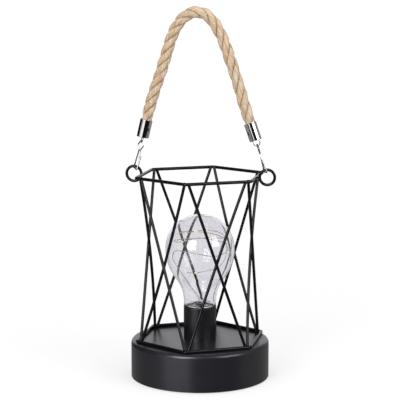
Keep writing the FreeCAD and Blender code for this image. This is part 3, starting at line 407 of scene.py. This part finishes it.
# %% Loose fibres
FIBRES, BARE_ENDS = 1100, 4
FIBRE_LENGTHS, FIBRE_ROOT, FIBRE_TIP = (1.0, 2.6), 0.07, 0.02
LEAN_ALONG, LEAN_ASIDE, ROOT_DEPTH = (0.6, 2.2), (-0.5, 0.5), 0.8
fibre_tool = bmesh.new()
for _ in range(FIBRES):
    index = luck.randrange(BARE_ENDS, last - BARE_ENDS)
    way = luck.uniform(0, math.tau)
    spoke = plane_normal * math.cos(way) + sides[index] * math.sin(way)
    along = tangents[index] * luck.choice((-1, 1)) * luck.uniform(*LEAN_ALONG)
    lean = (spoke + along + spoke.cross(along) * luck.uniform(*LEAN_ASIDE)).normalized()
    length = luck.uniform(*FIBRE_LENGTHS)
    root = stations[index] + spoke * (rope_radius(index) - ROOT_DEPTH) * MM
    turn = lean.to_track_quat("Z", "X").to_matrix().to_4x4()
    place = Matrix.Translation(root + lean * length * 0.5 * MM) @ turn
    bmesh.ops.create_cone(fibre_tool, cap_ends=True, segments=3, radius1=FIBRE_ROOT * MM,
                          radius2=FIBRE_TIP * MM, depth=length * MM, matrix=place)
fibre_straw, shader = new_finish("loose_jute_fibre", roughness=0.8, ior=1.45)
two_tone(fibre_straw, shader, object_noise(fibre_straw, 3.0), "#cdb08b", "#efe0ca")
finish_piece("loose_fibres", fibre_tool, fibre_straw, "handle", 80.0)

# %% [markdown]
# The drum and the cage are steel with one coat of satin black powder. Powder is sprayed dry
# and baked, so it flows out almost level but keeps a faint orange peel, which breaks up
# the edge of a reflection. The peel is about a millimetre from crest to crest and only a few
# microns deep. Here it is drawn a little deeper, or it would not show at this distance. The
# drum's tone drifts over the whole range of its noise: a narrower range is cut off at both
# ends, and the flat patches that are left show as marks on a smooth wall. On the thin wires
# the powder melts together smoother and darker, and they shine only in narrow faint lines.

# %% Satin black powder coat
powder_coat, shader = new_finish("powder_coated_steel", ior=1.5)
cloud = object_noise(powder_coat, 17.0, detail=2.0)
two_tone(powder_coat, shader, cloud, "#201f25", "#25242a", 0.0, 1.0)
patchy_roughness(powder_coat, shader, cloud, 0.26, 0.33, 0.0, 1.0)
add_bump(powder_coat, shader, object_noise(powder_coat, 1.1, detail=2.0), 0.015, 0.3)

coated_wire, shader = new_finish("powder_coated_wire", ior=1.5, specular_ior_level=0.2)
run = object_noise(coated_wire, 11.0, detail=3.0)
two_tone(coated_wire, shader, run, "#111013", "#18171b")
patchy_roughness(coated_wire, shader, run, 0.13, 0.2)
add_bump(coated_wire, shader, object_noise(coated_wire, 1.6, detail=2.0), 0.015, 0.3)
print("made", powder_coat.name, coated_wire.name)

# %% [markdown]
# The lamp holder, the stopper in the bulb's neck and the cover below the drum are moulded in
# black ABS. The holder's mould is polished, so it is smoother than the powder coat. The cover
# and the battery door come out of a spark-eroded mould with a fine even grain, about a third
# of a millimetre. The grain is drawn coarser than that, so that it shows.

# %% Moulded plastics
moulded_satin, shader = new_finish("moulded_abs_satin", base_color=linear("#19181b"), ior=1.5)
flow = object_noise(moulded_satin, 9.0, detail=5.0)
patchy_roughness(moulded_satin, shader, flow, 0.26, 0.38)
add_bump(moulded_satin, shader, flow, 0.015, 0.4)

moulded_grain, shader = new_finish("moulded_abs_grained", roughness=0.55, ior=1.53)
grain = object_noise(moulded_grain, 0.6, detail=3.0, roughness=0.6)
two_tone(moulded_grain, shader, grain, "#1d1d20", "#27272a")
add_bump(moulded_grain, shader, grain, 0.05, 0.8)

stopper_black, shader = new_finish("moulded_stopper", base_color=linear("#101011"), ior=1.5)
ripple = object_noise(stopper_black, 3.2, detail=2.0)
patchy_roughness(stopper_black, shader, ripple, 0.12, 0.22)
add_bump(stopper_black, shader, ripple, 0.3, 0.8)

foot_rubber, shader = new_finish("moulded_rubber", roughness=0.75, ior=1.5)
bloom = object_noise(foot_rubber, 0.9, detail=4.0)
two_tone(foot_rubber, shader, bloom, "#191919", "#242423")
add_bump(foot_rubber, shader, bloom, 0.04, 0.6)
print("made", moulded_satin.name, moulded_grain.name, stopper_black.name, foot_rubber.name)

# %% [markdown]
# The bright parts of the handle are plated. The ferrules are drawn brass cups with polished
# chrome, which mirrors the studio: white where the soft boxes are and black where they are
# not. The clips and eyes are nickel-plated spring wire, a little warmer and duller, with fine
# lines along the wire from the drawing die. Inside the drum the contacts, springs, posts,
# screws and the switch's case are zinc-plated steel.

# %% Plated metals
polished_chrome, shader = new_finish("polished_chrome", base_color=linear("#eceded"), metallic=1.0)
haze = object_noise(polished_chrome, 4.0, detail=5.0)
patchy_roughness(polished_chrome, shader, haze, 0.03, 0.1)
add_bump(polished_chrome, shader, haze, 0.006, 0.25)

nickel_wire, shader = new_finish("nickel_plated_wire", metallic=1.0, roughness=0.18)
drawn = object_noise(nickel_wire, 0.5, detail=4.0, stretch=(1.0, 1.0, 0.15))
two_tone(nickel_wire, shader, drawn, "#9b9994", "#bfbdb8")
add_bump(nickel_wire, shader, drawn, 0.01, 0.4)

zinc_plate, shader = new_finish("zinc_plated_steel", metallic=1.0)
spangle = object_noise(zinc_plate, 1.6, detail=4.0)
two_tone(zinc_plate, shader, spangle, "#a4a7ab", "#c6c8ca")
patchy_roughness(zinc_plate, shader, spangle, 0.25, 0.42)
add_bump(zinc_plate, shader, spangle, 0.02, 0.4)
print("made", polished_chrome.name, nickel_wire.name, zinc_plate.name)

# %% [markdown]
# The bulb is soda-lime glass, blown into a mould. Its colour is almost nothing, a trace of
# grey that a white ground shows up, and its wall is never quite even, so a straight wire
# behind it looks slightly broken. A slow shallow ripple gives that.

# %% Blown glass
blown_glass, shader = new_finish("blown_soda_lime_glass", base_color=linear("#eeedf1"),
                                 roughness=0.0, ior=1.5, transmission_weight=1.0)
add_bump(blown_glass, shader, object_noise(blown_glass, 26.0, detail=0.0), 0.1, 0.06)
print("made", blown_glass.name)

# %% [markdown]
# The string of lights is lacquered copper wire, as fine as thread, with beads of clear resin
# over tiny lamps. The resin is tinted by the phosphor of the lamps, so an unlit bead is pale
# yellow. The beads let some light through, which subsurface scattering stands for. The lamps
# are unlit, and a faint painted glow keeps the beads pale behind the grey of the glass.

# %% Light string
lacquered_copper, shader = new_finish("lacquered_copper_wire", metallic=1.0, roughness=0.3)
tarnish = object_noise(lacquered_copper, 3.0, detail=3.0)
two_tone(lacquered_copper, shader, tarnish, "#8d8984", "#c2b39c")
add_bump(lacquered_copper, shader, tarnish, 0.01, 0.3)

# Painted glow: the emission keeps the unlit beads pale.
bead_resin, shader = new_finish("phosphor_resin_painted_glow", roughness=0.18, ior=1.52, subsurface_weight=0.35,
                                subsurface_scale=0.8 * MM, emission_color=linear("#dfe0a0"),
                                emission_strength=0.3)
cast = object_noise(bead_resin, 0.8, detail=2.0)
two_tone(bead_resin, shader, cast, "#ebe8a2", "#fbfadc")
add_bump(bead_resin, shader, cast, 0.05, 0.4)
print("made", lacquered_copper.name, bead_resin.name)

# %% [markdown]
# The pieces that only show from below or with the battery door open get plain workshop
# finishes: a shrink sleeve round the cells, green solder mask on the board and soft vinyl on
# the leads.

# %% Finishes inside the drum
cell_sleeve, shader = new_finish("shrink_sleeve", roughness=0.28, ior=1.5)
crinkle = object_noise(cell_sleeve, 3.5, detail=4.0)
two_tone(cell_sleeve, shader, crinkle, "#292c31", "#353940")
add_bump(cell_sleeve, shader, crinkle, 0.04, 0.5)

solder_mask, shader = new_finish("solder_mask", roughness=0.3, ior=1.5)
copper_under = object_noise(solder_mask, 1.4, detail=2.0)
two_tone(solder_mask, shader, copper_under, "#1a5c36", "#2b8a52", 0.48, 0.52)
add_bump(solder_mask, shader, copper_under, 0.03, 0.5)

lead_vinyl, shader = new_finish("vinyl_insulation", roughness=0.42, ior=1.5)
rub = object_noise(lead_vinyl, 1.2, detail=3.0)
two_tone(lead_vinyl, shader, rub, "#8f1c17", "#b52a22")
add_bump(lead_vinyl, shader, rub, 0.02, 0.4)
print("made", cell_sleeve.name, solder_mask.name, lead_vinyl.name)

# %% [markdown]
# A solid whose shape is right stays as it is and only gets its finish. The table below says
# which finish each kind of solid has, by the first words of its name.

# %% Dress the solids
DRESS = {
    "base_shell": powder_coat, "cage_wire": coated_wire, "top_ring": coated_wire,
    "bottom_ring": coated_wire, "left_lug": coated_wire, "right_lug": coated_wire,
    "lamp_holder": moulded_satin, "bulb_plug": stopper_black, "bulb_glass": blown_glass,
    "bottom_cover": moulded_grain, "battery_door": moulded_grain, "switch_knob": moulded_grain,
    "rubber_feet": foot_rubber,
    "cover_posts": zinc_plate, "cover_screws": zinc_plate, "holder_screws": zinc_plate,
    "switch_body": zinc_plate, "battery_contacts": zinc_plate, "battery_springs": zinc_plate,
    "battery_cell": cell_sleeve, "circuit_board": solder_mask, "battery_leads": lead_vinyl,
    "bulb_leads": lead_vinyl, "light_string": lacquered_copper, "light_beads": bead_resin,
    "left_clip": nickel_wire, "right_clip": nickel_wire,
    "left_eye": nickel_wire, "right_eye": nickel_wire,
    "left_ferrule": polished_chrome, "right_ferrule": polished_chrome, "handle_rope": jute,
}
for node_name, solid in NODES.items():
    finish = [finish for start, finish in DRESS.items() if node_name.startswith(start)][0]
    solid.data.materials.clear()
    solid.data.materials.append(finish)
print("dressed", len(NODES), "solids")

# %% [markdown]
# The bulb's solid is made of flat triangles, and glass shows every one of them. So the wall
# is spun again here from the same arcs, with many more steps: the globe, the flank that
# narrows below it, the hollow throat, the straight neck, and the roll at the holder's rim. The
# arcs meet smoothly, so the place of each follows from the one below it.

# %% Bulb measures
GLOBE, FLANK, THROAT, NECK, ROLL, COLLAR, WALL = 30.0, 42.0, 32.0, 14.0, 1.4, 12.4, 1.0
NECK_HEIGHT, NECK_GAP = 2.5, 0.1
holder_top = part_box("lamp_holder")[1][2] / MM
collar_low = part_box("bulb_glass")[0][2] / MM
neck_low = holder_top + NECK_GAP
throat_z = neck_low + ROLL + NECK_HEIGHT
flank_x, throat_x = GLOBE - FLANK, NECK + THROAT
slope = math.degrees(math.acos((throat_x - flank_x) / (FLANK + THROAT)))
globe_z = throat_z + (FLANK + THROAT) * math.sin(math.radians(slope))
print("globe centre", round(globe_z, 2), "mm up")

# %% [markdown]
# The inside is the same line one wall further in. Only its roll is rounder, because the
# outer arc moved in by a whole wall would leave a tight crease. Both lines start on the axis
# and are joined at the collar's foot, so spinning them gives one closed wall.

# %% Bulb
GLOBE_STEPS, FLANK_STEPS, THROAT_STEPS, ROLL_STEPS, TURN_STEPS = 30, 14, 12, 6, 128
ROLL_LIFT = 0.4
MERGE = 0.004


def arc_points(centre, radius, start, finish, steps):
    """Points of an arc, in millimetres, from one angle to another in degrees."""
    turns = [math.radians(start + (finish - start) * step / steps) for step in range(steps + 1)]
    return [(centre[0] + radius * math.cos(turn), centre[1] + radius * math.sin(turn)) for turn in turns]


def bulb_line(wall):
    """The bulb's half profile from its crown to the collar's foot, the given wall further in."""
    roll_centre = (NECK - ROLL, neck_low + ROLL + wall * ROLL_LIFT)
    roll_radius = ROLL - wall * (1 - ROLL_LIFT)
    line = [(0.0, globe_z + GLOBE - wall)]
    line += arc_points((0.0, globe_z), GLOBE - wall, 90.0, 0.0, GLOBE_STEPS)[1:]
    line += arc_points((flank_x, globe_z), FLANK - wall, 0.0, -slope, FLANK_STEPS)[1:]
    line += arc_points((throat_x, throat_z), THROAT + wall, 180.0 - slope, 180.0, THROAT_STEPS)[1:]
    line += arc_points(roll_centre, roll_radius, 0.0, -90.0, ROLL_STEPS)
    return line + [(COLLAR - wall, neck_low + wall), (COLLAR - wall, collar_low)]


def spin_profile(points, steps):
    """Turns a half profile of (radius, height) in millimetres about the lamp's axis."""
    tool = bmesh.new()
    corners = [tool.verts.new((radius * MM, 0.0, height * MM)) for radius, height in points]
    edges = [tool.edges.new(pair) for pair in zip(corners, corners[1:])]
    bmesh.ops.spin(tool, geom=corners + edges, cent=(0, 0, 0), axis=(0, 0, 1), angle=math.tau,
                   steps=steps, use_merge=True)
    bmesh.ops.remove_doubles(tool, verts=tool.verts, dist=MERGE * MM)
    bmesh.ops.recalc_face_normals(tool, faces=tool.faces)
    return tool


bulb_tool = spin_profile(bulb_line(0.0) + bulb_line(WALL)[::-1], TURN_STEPS)
bulb = finish_piece("bulb_wall", bulb_tool, blown_glass, "lantern", 60.0)
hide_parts("bulb_glass")

# %% [markdown]
# The cage's wires are lapped against the two rings from inside and spot-welded, and the
# powder runs into each joint. A small flattened bead of the same finish sits there: one for
# each wire's end, a few millimetres from a corner, and one where the two wires of a side
# cross. The wires are given by their radius.

# %% Weld beads
HEXAGON, SETBACK = 57.0, 3.1
RING_WIRE, CAGE_WIRE = 1.4, 1.25
END_BEAD, CROSSING_BEAD = (1.5, 1.0, 1.15), (0.9, 0.6, 1.4)
ring_heights = [(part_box(ring)[0][2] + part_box(ring)[1][2]) / 2 / MM
                for ring in ("bottom_ring", "top_ring")]


def hexagon_corner(index):
    """A corner of the rings' hexagon, in millimetres."""
    turn = math.radians(HEXAGON_TURN + 60 * index)
    return Vector((HEXAGON * math.cos(turn), HEXAGON * math.sin(turn), 0.0))


def add_bead(tool, place, along, inward, size):
    """A flattened ball. Its half widths go along the side, inwards and upwards."""
    turn = Matrix((along, inward, Vector((0, 0, 1)))).transposed().to_4x4()
    shape = Matrix.Translation(place * MM) @ turn @ Matrix.Diagonal((*[half * MM for half in size], 1.0))
    bmesh.ops.create_icosphere(tool, subdivisions=2, radius=1.0, matrix=shape)


weld_tool = bmesh.new()
for side in range(6):
    left, right = hexagon_corner(side), hexagon_corner(side + 1)
    along = (right - left).normalized()
    inward = Vector((-along.y, along.x, 0.0))
    for height in ring_heights:
        for end in (left + along * SETBACK, right - along * SETBACK):
            joint = end + inward * RING_WIRE + Vector((0, 0, height))
            add_bead(weld_tool, joint, along, inward, END_BEAD)
    halfway = Vector((0, 0, sum(ring_heights) / 2))
    crossing = (left + right) / 2 + inward * (RING_WIRE + 2 * CAGE_WIRE) + halfway
    add_bead(weld_tool, crossing, along, inward, CROSSING_BEAD)
finish_piece("weld_beads", weld_tool, coated_wire, "lantern", 80.0)

# %% [markdown]
# The studio is a white sweep. The camera sees the floor as white, and the floor keeps the
# lamp's faint shadow. The lamps light the floor less and less with distance, so its own glow
# grows as theirs falls. The lamp stands near the front edge of the table, so its mirrors look
# past the floor. From below the floor is clear, so that the lamp's underside can be looked at.

# %% Floor
GLOW_NEAR, GLOW_FAR = 0.58, 0.79
GLOW_GROWS_FROM, GLOW_GROWS_TO = 0.15, 1.6
FLOOR_HALF = 8.0


def seen_rays(owner):
    """The kinds of ray, and 1 for those that end at the camera, also through glass."""
    rays = add_node(owner, "ShaderNodeLightPath")
    seen = add_node(owner, "ShaderNodeMath", {"operation": "MAXIMUM"},
                    {0: rays.outputs["Is Camera Ray"], 1: rays.outputs["Is Transmission Ray"]})
    return rays, seen.outputs[0]


floor_paint = empty_graph(bpy.data.materials.new("white_sweep"))
place = add_node(floor_paint, "ShaderNodeTexCoord")
metres_out = add_node(floor_paint, "ShaderNodeVectorMath", {"operation": "LENGTH"},
                      {0: place.outputs["Object"]})
brighter = remap(floor_paint, metres_out.outputs["Value"], GLOW_NEAR, GLOW_FAR,
                 GLOW_GROWS_FROM, GLOW_GROWS_TO)
matt = add_node(floor_paint, "ShaderNodeBsdfDiffuse", {"Color": linear("#bcbcbc")})
glow = add_node(floor_paint, "ShaderNodeEmission", {"Color": linear("#ffffff")}, {"Strength": brighter})
lit = add_node(floor_paint, "ShaderNodeAddShader", links={0: matt.outputs[0], 1: glow.outputs[0]})
floor_mix = add_node(floor_paint, "ShaderNodeMixShader",
                     links={0: seen_rays(floor_paint)[1], 1: matt.outputs[0], 2: lit.outputs[0]})
clear = add_node(floor_paint, "ShaderNodeBsdfTransparent")
face = add_node(floor_paint, "ShaderNodeNewGeometry")
one_sided = add_node(floor_paint, "ShaderNodeMixShader",
                     links={0: face.outputs["Backfacing"], 1: floor_mix.outputs[0],
                            2: clear.outputs[0]})
add_node(floor_paint, "ShaderNodeOutputMaterial", links={"Surface": one_sided.outputs[0]})

floor_tool = bmesh.new()
bmesh.ops.create_grid(floor_tool, x_segments=1, y_segments=1, size=FLOOR_HALF)
floor = mesh_object("studio_floor", floor_tool, floor_paint)
floor.visible_glossy = False
print("floor set,", 2 * FLOOR_HALF, "m wide")

# %% [markdown]
# The sky has three levels. The camera sees it as white, also through the glass. Mirrors see a
# greyer room, because chrome and satin black need something darker than white to show their
# shape. All other light that it gives is a soft fill.

# %% Sky
MIRRORED, FILL, SEEN = 0.26, 0.45, 1.05
world = empty_graph(bpy.data.worlds.new("studio_world"))
bpy.context.scene.world = world
rays, seen = seen_rays(world)
unseen = add_node(world, "ShaderNodeMapRange", {"To Min": FILL, "To Max": MIRRORED},
                  {"Value": rays.outputs["Is Glossy Ray"]})
level = add_node(world, "ShaderNodeMix", {"data_type": "FLOAT", "B": SEEN},
                 {"Factor": seen, "A": unseen.outputs["Result"]})
sky = add_node(world, "ShaderNodeBackground", {"Color": linear("#ffffff")},
               {"Strength": level.outputs["Result"]})
add_node(world, "ShaderNodeOutputWorld", links={"Surface": sky.outputs[0]})
print("sky seen at", SEEN, "and mirrored at", MIRRORED)

# %% [markdown]
# Two soft boxes stand in front of the lamp, one a little left and one well to the right. A
# third light hangs overhead and only fills.

# %% Soft boxes
LOOK_AT = Vector((0.0, 0.0, 0.12))


def around_lamp(turn, rise, distance):
    """A place round the lamp: degrees to the right of the camera, degrees up, metres away."""
    turn, rise = math.radians(turn), math.radians(rise)
    way = Vector((math.cos(rise) * math.sin(turn), -math.cos(rise) * math.cos(turn), math.sin(rise)))
    return LOOK_AT + distance * way


def soft_box(name, turn, rise, distance, size, power):
    """An area light that faces the lamp and that mirrors don't see."""
    data = bpy.data.lights.new(name, "AREA")
    data.shape = "RECTANGLE"
    data.size, data.size_y = size
    data.energy = power
    box = bpy.data.objects.new(name, data)
    box.location = around_lamp(turn, rise, distance)
    box.rotation_euler = (LOOK_AT - box.location).to_track_quat("-Z", "Y").to_euler()
    box.visible_glossy = False
    bpy.context.scene.collection.objects.link(box)


soft_box("left_box", -29, 20, 1.5, (0.78, 0.85), 10.0)
soft_box("right_box", 52, 26, 1.4, (0.85, 0.75), 5.5)
soft_box("top_box", 0, 88, 1.3, (1.0, 1.0), 4.0)
print("lights", [light.name for light in bpy.data.lights])

# %% [markdown]
# The rest is for mirrors only. A lit cloth hangs before each box, brighter than its plain
# light, as a flash is. The two cloths make the bright windows in the glass, the bright stripe
# in each ferrule and the faint thin lights along the cage's wires. Their brightness drifts a
# little, because no cloth is lit evenly.

# %% Cloths
flag_cloth, shader = new_finish("black_flag", roughness=0.95)
two_tone(flag_cloth, shader, object_noise(flag_cloth, 8.0), "#060606", "#0a0a0a")


def lit_cloth(name, low, high):
    """White cloth lit from behind. Its brightness drifts between two levels."""
    material = empty_graph(bpy.data.materials.new(name))
    level = remap(material, object_noise(material, 900.0, detail=0.0), low, high)
    glow = add_node(material, "ShaderNodeEmission", {"Color": linear("#f8f7fb")}, {"Strength": level})
    add_node(material, "ShaderNodeOutputMaterial", links={"Surface": glow.outputs[0]})
    return material


white_card = lit_cloth("lit_white_card", 1.05, 1.2)
box_front = lit_cloth("soft_box_front", 9.0, 11.0)
dim_box_front = lit_cloth("dim_soft_box_front", 5.0, 6.0)
print("cloths", flag_cloth.name, white_card.name, box_front.name, dim_box_front.name)

# %% [markdown]
# A black flag across the front and one at the left give the dark stripes. A white card on
# the left makes the stripe in the left ferrule, and a small one below the table's edge puts
# the soft band on the drum's side. A card behind the lamp brightens the drum's top, which is
# seen so flat that it mirrors the back of the studio.

# %% Cards and flags
def mirror_card(name, material, turn, rise, distance, width, height):
    """A card that faces the lamp and that only mirrors see."""
    tool = bmesh.new()
    bmesh.ops.create_grid(tool, x_segments=1, y_segments=1, size=0.5)
    bmesh.ops.scale(tool, vec=(width, height, 1.0), verts=tool.verts)
    place = around_lamp(turn, rise, distance)
    facing = (LOOK_AT - place).to_track_quat("-Z", "Y").to_matrix().to_4x4()
    bmesh.ops.transform(tool, matrix=Matrix.Translation(place) @ facing, verts=tool.verts)
    card = mesh_object(name, tool, material)
    card.visible_camera = False
    card.visible_diffuse = False
    card.visible_shadow = False
    card.visible_transmission = False


mirror_card("left_box_front", box_front, -29, 20, 1.45, 0.76, 0.83)
mirror_card("right_box_front", dim_box_front, 52, 26, 1.35, 0.82, 0.72)
mirror_card("flag_front", flag_cloth, 8, 0, 2.4, 9.0, 5.0)
mirror_card("flag_left", flag_cloth, -115, 15, 2.6, 3.6, 2.9)
mirror_card("card_table", white_card, -36, -24, 0.42, 0.3, 0.12)
mirror_card("card_left", white_card, -44, -1.5, 1.6, 1.6, 0.3)
mirror_card("card_back", white_card, 180, 12, 2.0, 2.3, 0.95)
print("cards and flags set")

# %% [markdown]
# The Standard view shows each colour as it is written.

# %% View
bpy.context.scene.view_settings.view_transform = "Standard"
